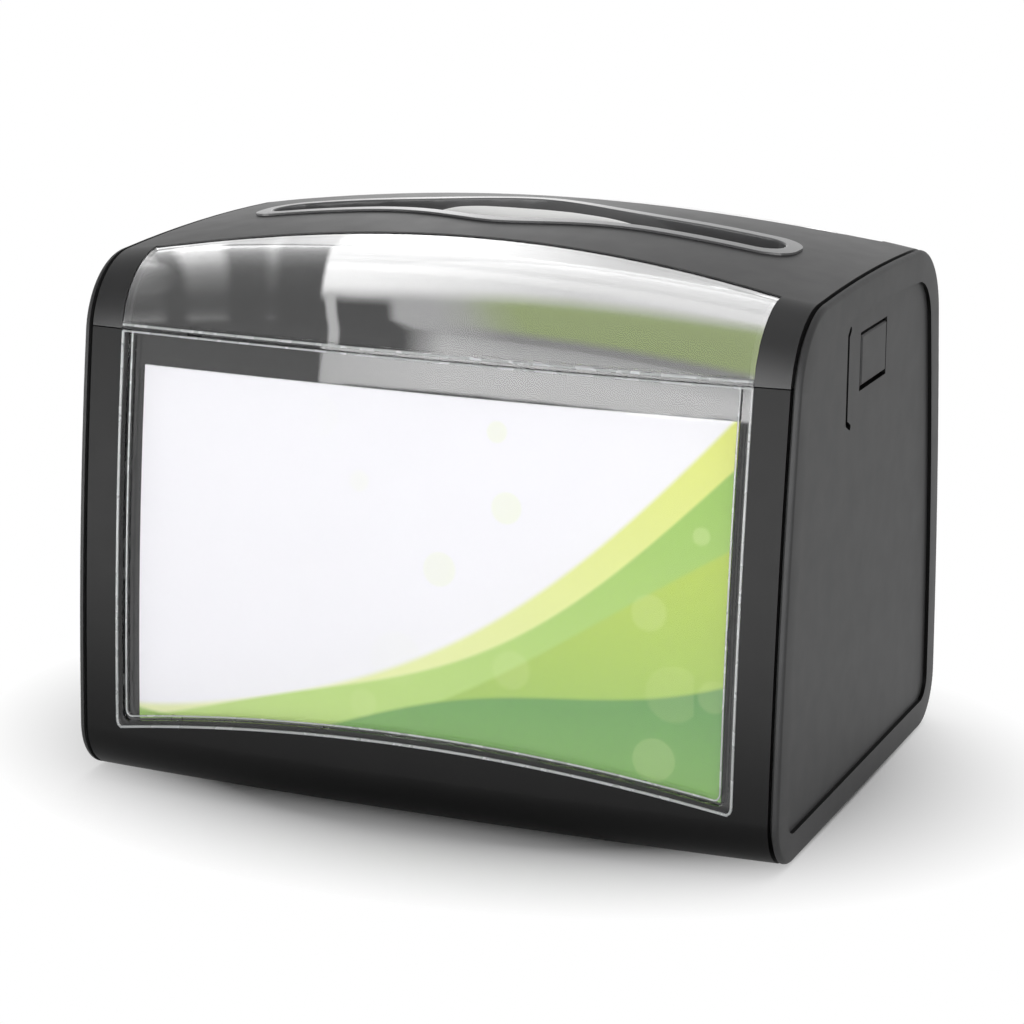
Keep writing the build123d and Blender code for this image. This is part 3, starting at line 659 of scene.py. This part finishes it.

# %% [markdown]
# ## Feed springs
#
# Two compression springs of round wire push the napkins up. A spiral curve with a small circle swept
# along it is exactly how such a spring is wound.

# %% Wind the springs
spring_recipe = Recipe("wound spring", lengths=("Coil Radius", "Wire Radius", "Turns", "Rise"))
given = spring_recipe.given
coil = spring_recipe.step("GeometryNodeCurveSpiral", "Curve", Resolution=36, Rotations=given["Turns"],
                          Height=given["Rise"], Start_Radius=given["Coil Radius"],
                          End_Radius=given["Coil Radius"])
wire = spring_recipe.step("GeometryNodeCurvePrimitiveCircle", "Curve", Resolution=10,
                          Radius=given["Wire Radius"])
wound = spring_recipe.step("GeometryNodeCurveToMesh", "Mesh", Curve=coil, Profile_Curve=wire, Fill_Caps=True)
springs = spring_recipe.step("GeometryNodeInstanceOnPoints", "Instances", Points=given["Geometry"],
                             Instance=wound)
springs = spring_recipe.step("GeometryNodeRealizeInstances", "Geometry", Geometry=springs)
spring_recipe.end(spring_recipe.step("GeometryNodeSetShadeSmooth", "Geometry", Geometry=springs))

spring_low, spring_high = (corner.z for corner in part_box("left_feed_spring"))
wire_radius = 1.0 * mm
spring_offset = 42 * mm    # from the middle of the width
spring_feet = [(side * spring_offset, 0, spring_low + wire_radius) for side in (-1, 1)]
feed_springs = spring_recipe.make("wound_feed_springs", points_mesh("spring feet", spring_feet),
                                  spring_steel, Coil_Radius=16 * mm, Wire_Radius=wire_radius, Turns=6.5,
                                  Rise=spring_high - spring_low - 2 * wire_radius)
stands_for(feed_springs, "left_feed_spring", "right_feed_spring")
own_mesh(feed_springs)

# %% [markdown]
# ## Screws
#
# Countersunk screws hold the base and the latches, with their heads facing down. A cone and a shank
# are joined, a cross is cut out of the head, and the one screw is set on every point of a list.

# %% Recipe for cross-recessed screws
screw_recipe = Recipe("countersunk screws", lengths=("Head Radius", "Head Height", "Shank Radius", "Length"))
given = screw_recipe.given
cross_length, cross_width = 1.15, 0.28        # the cut in the head, in radii of the head
head = screw_recipe.step("GeometryNodeMeshCone", "Mesh", Vertices=32, Radius_Bottom=given["Head Radius"],
                         Radius_Top=given["Shank Radius"], Depth=given["Head Height"])
shank = screw_recipe.step("GeometryNodeMeshCylinder", "Mesh", Vertices=32, Radius=given["Shank Radius"],
                          Depth=given["Length"])
lifted = screw_recipe.xyz(Z=screw_recipe.math("DIVIDE", given["Length"], 2.0))
shank = screw_recipe.step("GeometryNodeTransform", "Geometry", Geometry=shank, Translation=lifted)
body = screw_recipe.node("GeometryNodeMeshBoolean", operation="UNION")
cut = screw_recipe.node("GeometryNodeMeshBoolean", operation="DIFFERENCE")
for piece in (head, shank):
    screw_recipe.put(body, "Mesh 2", piece)
for long, short in ((cross_length, cross_width), (cross_width, cross_length)):
    size = screw_recipe.xyz(X=screw_recipe.math("MULTIPLY", given["Head Radius"], long),
                            Y=screw_recipe.math("MULTIPLY", given["Head Radius"], short),
                            Z=given["Head Height"])
    screw_recipe.put(cut, "Mesh 2", screw_recipe.step("GeometryNodeMeshCube", "Mesh", Size=size))
screw_recipe.put(cut, "Mesh 1", body.outputs["Mesh"])
screw_recipe.end(screw_recipe.step("GeometryNodeInstanceOnPoints", "Instances", Points=given["Geometry"],
                                   Instance=cut.outputs["Mesh"]))

# %% Set the screws
screw_rows = {
    "base_screws": [(50, 49.5, 0.5), (91.5, 30, 3.1)],
    "cover_screws": [(91.5, 38, 129.0)],
}
for node, rows in screw_rows.items():
    places = [(x * across * mm, y * along * mm, z * mm) for x, y, z in rows for across in (-1, 1)
              for along in (-1, 1)]
    screws = screw_recipe.make(node + "_set", points_mesh(node, places), screw_steel, Head_Radius=2.8 * mm,
                               Head_Height=1.3 * mm, Shank_Radius=1.45 * mm, Length=8 * mm)
    stands_for(screws, node)

# %% [markdown]
# ## The stack of napkins
#
# Folded napkins lie in the magazine by the dozen, and the springs press the pile up so that its top
# swells towards the slot. The recipe repeats one folded leaf and then lifts every point by its
# height and by how near it is to the middle, so the pile is flat at the bottom and domed on top.

# %% Recipe for a domed stack
stack_low, stack_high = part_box("napkin_stack")
stack_half_length, stack_half_depth = stack_high.x, stack_high.y
stack_dome = 14 * mm
edge_rise = stack_high.z - stack_dome - stack_low.z
leaf_count = 44
scatter_depth = 0.4        # how far the leaves stray in depth, as a share of how far in width

stack_recipe = Recipe("domed stack", lengths=("Pitch", "Base", "Dome", "Half Depth", "Edge Rise", "Scatter"),
                      counts=("Leaves", "Seed"))
given = stack_recipe.given
column = stack_recipe.step("GeometryNodeMeshLine", "Mesh", Count=given["Leaves"],
                           Start_Location=stack_recipe.xyz(Z=given["Base"]),
                           Offset=stack_recipe.xyz(Z=given["Pitch"]))
leaves = stack_recipe.step("GeometryNodeInstanceOnPoints", "Instances", Points=column,
                           Instance=given["Geometry"])
stray = stack_recipe.node("FunctionNodeRandomValue", data_type="FLOAT")
stack_recipe.put(stray, 2, stack_recipe.math("MULTIPLY", given["Scatter"], -1.0))
stack_recipe.put(stray, 3, given["Scatter"])
stack_recipe.put(stray, "Seed", given["Seed"])
aside = stack_recipe.xyz(X=stray.outputs[1],
                         Y=stack_recipe.math("MULTIPLY", stray.outputs[1], scatter_depth))
leaves = stack_recipe.step("GeometryNodeTranslateInstances", "Instances", Instances=leaves, Translation=aside)
pile = stack_recipe.step("GeometryNodeRealizeInstances", "Geometry", Geometry=leaves)
place = stack_recipe.node("ShaderNodeSeparateXYZ")
stack_recipe.put(place, "Vector", stack_recipe.node("GeometryNodeInputPosition").outputs["Position"])
share = stack_recipe.math("DIVIDE", place.outputs["Y"], given["Half Depth"])
swell = stack_recipe.math("SUBTRACT", 1.0, stack_recipe.math("MULTIPLY", share, share))
swell = stack_recipe.math("MULTIPLY", swell, stack_recipe.math("DIVIDE", given["Dome"], given["Edge Rise"]))
above = stack_recipe.math("SUBTRACT", place.outputs["Z"], given["Base"])
lift = stack_recipe.xyz(Z=stack_recipe.math("MULTIPLY", above, swell))
pile = stack_recipe.step("GeometryNodeSetPosition", "Geometry", Geometry=pile, Offset=lift)
stack_recipe.end(pile)


# %% Fold one leaf and stack it
def folded_leaf(half_length, half_depth, thickness):
    """One folded napkin: a flat slab with round folded edges, cut square at its ends."""
    across = np.linspace(half_depth - thickness / 2, thickness / 2 - half_depth, 25)
    bend = np.linspace(pi / 2, -pi / 2, 7)[1:-1]
    rim = [(y, thickness) for y in across]
    rim += [(across[-1] - thickness / 2 * cos(a), thickness / 2 * (1 + sin(a))) for a in bend]
    rim += [(y, 0) for y in across[::-1]]
    rim += [(across[0] + thickness / 2 * cos(a), thickness / 2 * (1 + sin(a))) for a in bend[::-1]]
    count = len(rim)
    points = [(x, y, z) for x in (-half_length, half_length) for y, z in rim]
    faces = [(k, (k + 1) % count, count + (k + 1) % count, count + k) for k in range(count)]
    mesh = bpy.data.meshes.new("folded leaf")
    mesh.from_pydata(points, [], faces + [tuple(range(count))[::-1], tuple(range(count, 2 * count))])
    work = bmesh.new()
    work.from_mesh(mesh)
    bmesh.ops.recalc_face_normals(work, faces=work.faces)
    work.to_mesh(mesh)
    work.free()
    return mesh


leaf_pitch = edge_rise / leaf_count
scatter = 0.35 * mm
leaf = folded_leaf(stack_half_length - scatter, stack_half_depth - scatter_depth * scatter, 0.88 * leaf_pitch)
napkin_leaves = stack_recipe.make("folded_napkin_stack", leaf, napkin_tissue, Leaves=leaf_count,
                                  Pitch=leaf_pitch, Base=stack_low.z, Dome=stack_dome,
                                  Half_Depth=stack_half_depth, Edge_Rise=edge_rise, Scatter=scatter, Seed=7)
stands_for(napkin_leaves, "napkin_stack")

# %% [markdown]
# ## The leading napkin
#
# The top napkin lies on the pile, and its folded edge is drawn up into the wide middle of the slot,
# where two fingers can take it. Its shape is worked out point by point: the dome of the pile, plus a
# ridge that fills the slot and falls away before it meets the bezel's underside. Fine creases run down
# from the ridge, and at last the sheet gets its thickness.

# %% Drape the leading napkin
napkin_margin = 1.2 * mm                          # the sheet ends this far from the ends of the pile
napkin_side_margin = 0.8 * mm
ridge_middle, ridge_reach = 6 * mm, 39 * mm
ridge_front, ridge_fall = -4 * mm, 0.3            # the crest falls away from this line, at this slope
crest_round = 2 * mm
ridge_play = 1.2 * mm                             # ridge to the sides of the slot
ridge_squareness, ridge_edge, ridge_steepness = 2.4, 1.05, 7
crease_height = 0.22 * mm
crease_width, crease_slant, crease_beat = 2.9 * mm, 6 * mm, 7.3 * mm
ridge_heights = [(-40, 150.3), (-34, 151.6), (-29, 152.4), (-23, 153.0), (-17, 153.4), (-10, 153.7),
                 (-3, 153.8), (8, 153.8), (16, 153.6), (25, 153.0), (31, 152.4), (37, 151.7),
                 (44, 150.1), (50, 148.4)]
slot_narrow, slot_bulge, bulge_reach = 6.5 * mm, 9.0 * mm, 42 * mm
paper_play = 0.3 * mm
ply_thickness = 0.2 * mm


def pile_top(y):
    return stack_high.z - stack_dome * (y / stack_half_depth) ** 2


def napkin_height(x, y):
    """Height of the leading napkin over one place of the pile."""
    bulge = cos(pi / 2 * min(abs(x) / bulge_reach, 1)) ** 2
    room = slot_narrow + slot_bulge * bulge - ridge_play
    away = ((abs(x - ridge_middle) / ridge_reach) ** ridge_squareness
            + (abs(y) / room) ** ridge_squareness) ** (1 / ridge_squareness)
    raised = 1 / (1 + (away / ridge_edge) ** ridge_steepness)
    crest = np.interp(x / mm, *zip(*ridge_heights)) * mm
    crest -= ridge_fall * (sqrt((y - ridge_front) ** 2 + crest_round ** 2) - crest_round)
    base = pile_top(y) + paper_play
    crease = crease_height * sin(x / crease_width + y / crease_slant) * sin(x / crease_beat - 1.3)
    return base + (crest - base) * raised + crease * raised * (1 - raised) * 4


def draped_napkin():
    half_length, half_depth = stack_half_length - napkin_margin, stack_half_depth - napkin_side_margin
    across = np.linspace(-half_length, half_length, 165)
    along = np.linspace(-half_depth, half_depth, 133)
    points = [(x, y, napkin_height(x, y)) for y in along for x in across]
    mesh = bpy.data.meshes.new("draped_leading_napkin")
    mesh.from_pydata(points, [], grid_faces(points, len(across)))
    mesh.materials.append(napkin_tissue)
    mesh.shade_smooth()
    sheet = placed("draped_leading_napkin", mesh)
    thickness = sheet.modifiers.new("ply", "SOLIDIFY")
    thickness.thickness = ply_thickness
    thickness.offset = 1
    mesh = bpy.data.meshes.new_from_object(sheet.evaluated_get(bpy.context.evaluated_depsgraph_get()))
    sheet.modifiers.clear()
    sheet.data = mesh
    print("the leading napkin rises to", round(max(point[2] for point in points) / mm, 1), "mm")
    return sheet


leading = draped_napkin()
stands_for(leading, "leading_napkin")

# %% [markdown]
# ## Floor
#
# The box stands on a pale seamless floor. Close to the box the floor is plain matt white, so that it
# keeps the shadow. Further out it turns into pure white, but only for rays that reach the eye
# directly, in a reflection or through clear plastic: the object gets no extra light from it.

# %% Floor
def stage_sheet(name, points, faces, material):
    mesh = bpy.data.meshes.new(name)
    mesh.from_pydata(points, [], faces)
    mesh.materials.append(material)
    sheet = placed(name, mesh)
    return sheet


def seen_as_background(tree):
    """1 for rays that reach the eye directly, in a reflection or through clear plastic."""
    path = tree.node("ShaderNodeLightPath")
    seen = tree.math("MAXIMUM", path.outputs["Is Camera Ray"], path.outputs["Is Glossy Ray"])
    return tree.math("MAXIMUM", seen, path.outputs["Is Transmission Ray"])


floor_reach = 6.0
floor_aspect = 0.78        # the plain part is an oval, wider than deep
plain_floor = 0.078        # half its depth
white_floor = 0.125        # and half the depth at which the floor has turned white
floor_finish = Finish("floor", Roughness=1.0, Specular_IOR_Level=0.0, Base_Color=(0.93, 0.93, 0.93, 1))
oval = floor_finish.step("ShaderNodeMapping", "Vector", Scale=(floor_aspect, 1, 1),
                         Vector=floor_finish.place)
away = floor_finish.node("ShaderNodeVectorMath", operation="LENGTH")
floor_finish.put(away, 0, oval)
far = floor_finish.spread(away.outputs["Value"], 0, 1, plain_floor, white_floor)
glow = floor_finish.node("ShaderNodeEmission")
floor_finish.mix_shaders(floor_finish.math("MULTIPLY", far, seen_as_background(floor_finish)),
                         floor_finish.shader.outputs["BSDF"], glow.outputs["Emission"], floor_finish.output)
floor_corners = [(-floor_reach, -floor_reach, 0), (floor_reach, -floor_reach, 0),
                 (floor_reach, floor_reach, 0), (-floor_reach, floor_reach, 0)]
stage_sheet("floor", floor_corners, [(0, 1, 2, 3)], floor_finish.material)

# %% [markdown]
# ## Light
#
# The box is lit at a plain level: an even white surrounding, a wide softbox above and behind, which
# throws the shadow forward, and a low one in front for the display card. What makes the clear lens
# shine is not more light but a tent of cloth that only reflections can see. It arches over the box along
# the width. Its front is grey, with a green cloth to the right of the middle, and its top is bright. To
# the left it gives way to a dark backdrop with a few pale stripes, so that the left end of the lens stays
# dark, and a bright post stands where the two meet. A satin face blurs the tent, and one value for each
# height of the tent says how much of it such faces see. They see its colours as plain greys, and for them
# the floor in front carries a bounce sheet as well.

# %% World and softboxes
world_fill = 0.45
world = bpy.data.worlds.new("studio")
world.use_nodes = True
scene.world = world
sky = Tree(world.node_tree)
sky.tree.nodes.clear()
fill = sky.step("ShaderNodeBackground", "Background", Color=(1, 1, 1, 1), Strength=world_fill)
white = sky.step("ShaderNodeBackground", "Background", Color=(1, 1, 1, 1))
sky.mix_shaders(seen_as_background(sky), fill, white, sky.node("ShaderNodeOutputWorld"))


def softbox(name, middle, target, width, depth, power):
    data = bpy.data.lights.new(name, "AREA")
    data.shape = "RECTANGLE"
    data.size = width
    data.size_y = depth
    data.energy = power
    lamp = placed(name, data)
    lamp.location = middle
    lamp.rotation_euler = (Vector(middle) - Vector(target)).to_track_quat("Z", "Y").to_euler()
    lamp.visible_glossy = False


softbox("overhead softbox", (0.1, 0.45, 1.25), (0, 0, 0.1), 1.4, 1.2, 7.0)
softbox("front softbox", (0.35, -1.9, 0.35), (0, 0, 0.07), 1.2, 0.5, 5.7)

# %% Reflection tent
tent_radius = 2.5
tent_bottom = 0.05         # degrees above the horizon in front
tent_top = 174             # and the same arc over the top to the rear
softened = [(0, 0.95), (20, 0.8), (40, 0.25), (60, 0.1), (110, 0.08), (130, 0.14), (143, 0.2), (160, 0.42),
            (174, 0.42)]   # arc, and how much of the tent shows in faces that aren't polished
bounce = 8.0               # the bounce sheet on the floor, in such faces
bounce_height, bounce_start = 1.5 * mm, 0.14
bounce_ramp = [(0.175, 0.5), (0.31, bounce)]                           # distance in front of the box, glow
front_cloth = (11.6, 11.6, 11.6)
front_right = [(-0.47, 0.8), (-0.38, 1.0), (-0.12, 1.0), (0.0, 1.3)]   # and its share from left to right
grey_cloth = (8.0, 8.0, 8.0)
shaded_cloth = (5, 5, 5)
green_cloth = (6.2, 7.6, 3.4)
side_cloth = (7, 7, 7)     # beside the green one, and as bright
white_cloth = [(60, 19.2), (95, 17.8), (118, 10.8), (150, 10)]         # arc, glow
white_right = [(-0.45, 1.0), (-0.35, 0.88), (-0.25, 0.72), (0, 0.7)]   # and its share from left to right
white_edge = [(-0.45, 45), (-0.35, 50), (-0.3, 54), (-0.2, 60), (-0.1, 66), (0, 74)]   # its lower edge
cloth_fold, fold_shade = 107, 0.88                                     # a fold runs along this arc
rear_cloth = [(-0.58, 1.2), (-0.50, 1.9), (-0.42, 5.2), (-0.28, 2.3), (0, 2.6)]        # from left to right
dark_backdrop = [(0, 1.3), (8, 0.9), (90, 0.9), (110, 1.3)]
post_glow = (9.5, 9.5, 9.5)
slant_pivot = -0.41        # upright edges lean by the slant, except at this place
slant = [(5, 0), (19, 0.11), (31, 0.18), (42, 0.25), (54, 0.30), (66, 0.335), (81, 0.35), (96, 0.34),
         (112, 0.30), (132, 0.2), (163, -0.08)]
stripes = [(-0.61, 2.6), (-0.580, 2.6), (-0.573, 0), (-0.565, 0), (-0.558, 2.3), (-0.537, 2.1), (-0.530, 0),
           (-0.511, 0.1), (-0.504, 1.1), (-0.497, 0), (-0.47, 0)]
stripe_fade = [(5, 0.0), (9, 0.3), (15, 0.9), (22, 0.4), (32, 0.1), (47, 0.2), (60, 0.5), (80, 1), (110, 2),
               (135, 1.5)]
post = [(6, -0.460), (60, -0.4625), (110, -0.467)]                     # the post stands at this place
post_arcs = (5, 125)
patch_edge = [(6, -0.408), (11, -0.4124), (20, -0.4188), (45, -0.419)]   # a dark card reaches to here
patch_soft = [(6, 0.012), (12, 0.008), (20, 0.003)]
patch_arcs, patch_fade = (5, 52), 38
backdrop_edge = (-0.470, -0.4665)                                      # the dark backdrop ends here
floor_line = [(-0.58, 3.1), (-0.48, 2.9), (-0.38, 3.1), (-0.22, 3.5), (-0.15, 4.1)]


def at(value, table):
    """Read a table of pairs at one value, or at many."""
    return np.interp(value, *zip(*table))


def blend(value, start, end, first, second):
    """Go from one colour to another as the value passes from start to end."""
    share = min(max((value - start) / (end - start), 0), 1)
    return [one + (other - one) * share for one, other in zip(first, second)]


def cloth_glow(sideways, arc):
    """Colour of the cloths in front, on the right, overhead and behind."""
    tinted = blend(sideways, -0.02, 0.06, green_cloth, side_cloth)
    right = blend(sideways, -0.36, -0.31, grey_cloth, tinted)
    right = blend(arc, 13, 24, blend(sideways, -0.37, -0.33, grey_cloth, shaded_cloth), right)
    front = [part * at(sideways, front_right) for part in front_cloth]
    right = blend(arc, 4.8, 6.8, front, right)
    white_from = at(sideways, white_edge)
    white = at(arc, white_cloth) * at(sideways, white_right)
    cloth = blend(arc, white_from, white_from + 20, right, [white] * 3)
    cloth = blend(abs(arc - cloth_fold), 3, 6, [fold_shade * part for part in cloth], cloth)
    return blend(arc, 112, 150, cloth, [at(sideways, rear_cloth)] * 3)


def tent_glow(sideways, arc):
    """Colour of the tent in one direction."""
    lean_in = at(arc, slant)
    upright = (sideways + slant_pivot * lean_in) / (1 + lean_in)
    cloth = cloth_glow(sideways, arc)
    dark = at(arc, dark_backdrop) + at(upright, stripes) * at(arc, stripe_fade)
    dark = blend(arc, 140, 165, [dark] * 3, [at(sideways, rear_cloth)] * 3)
    if patch_arcs[0] < arc < patch_arcs[1]:
        edge, soft = at(arc, patch_edge), at(arc, patch_soft)
        patch = blend(arc, patch_fade, patch_arcs[1], dark, cloth)
        cloth = blend(upright, edge - 0.002, edge + 2 * soft, patch, cloth)
    if post_arcs[0] < arc < post_arcs[1]:
        cloth = blend(abs(upright - at(arc, post)), 0.0025, 0.005, np.maximum(post_glow, cloth), cloth)
    cloth = blend(upright, *backdrop_edge, dark, cloth)
    start = at(sideways, floor_line)
    return blend(arc, start - 0.1, start + 0.1, [1.0] * 3, cloth)


def tent_sheet():
    """The arched cloth, finer where it has stripes and edges, and the bounce sheet on the floor in front."""
    sides = sorted({*np.linspace(-0.8, 0.85, 60), *np.linspace(-0.62, -0.40, 221)})
    arcs = sorted({*np.linspace(tent_bottom, tent_top, 120), *np.linspace(2.6, 6, 40),
                   *np.linspace(6.3, 12, 16), *np.linspace(40, 50, 15)})
    spans = [tent_radius * side / sqrt(1 - side * side) for side in sides]
    points, colours = [], []
    for ahead in np.linspace(bounce_start, tent_radius, 40):
        points += [(span, -ahead, bounce_height) for span in spans]
        colours += [(1, 1, 1, at(ahead, bounce_ramp))] * len(sides)
    for arc in arcs:
        ahead, up = tent_radius * cos(radians(arc)), tent_radius * sin(radians(arc))
        points += [(span, -ahead, up) for span in spans]
        share = at(arc, softened)
        for side in sides:
            colour = tent_glow(side, arc)
            colours.append((*colour, bounce if max(colour) == 1 else share))
    faces = grid_faces(points, len(sides))
    finish = Finish("tent cloth")
    polished = finish.node("ShaderNodeLightPath").outputs["Is Singular Ray"]
    cloth = finish.node("ShaderNodeAttribute", attribute_name="glow").outputs
    plain = finish.step("ShaderNodeRGBToBW", "Val", Color=cloth["Color"])
    glow = finish.step("ShaderNodeEmission", "Emission",
                       Color=finish.mix(polished, plain, cloth["Color"]),
                       Strength=finish.spread(polished, cloth["Alpha"], 1.0))
    finish.feed(finish.output, Surface=glow)
    tent = stage_sheet("reflection tent", points, faces, finish.material)
    tent.data.attributes.new("glow", "FLOAT_COLOR", "POINT").data.foreach_set("color", np.ravel(colours))
    for kind in ("camera", "diffuse", "transmission", "volume_scatter", "shadow"):
        setattr(tent, "visible_" + kind, False)
    print(f"the tent has {len(faces)} faces; its brightest cloth is {np.max(colours):.0f}")


tent_sheet()
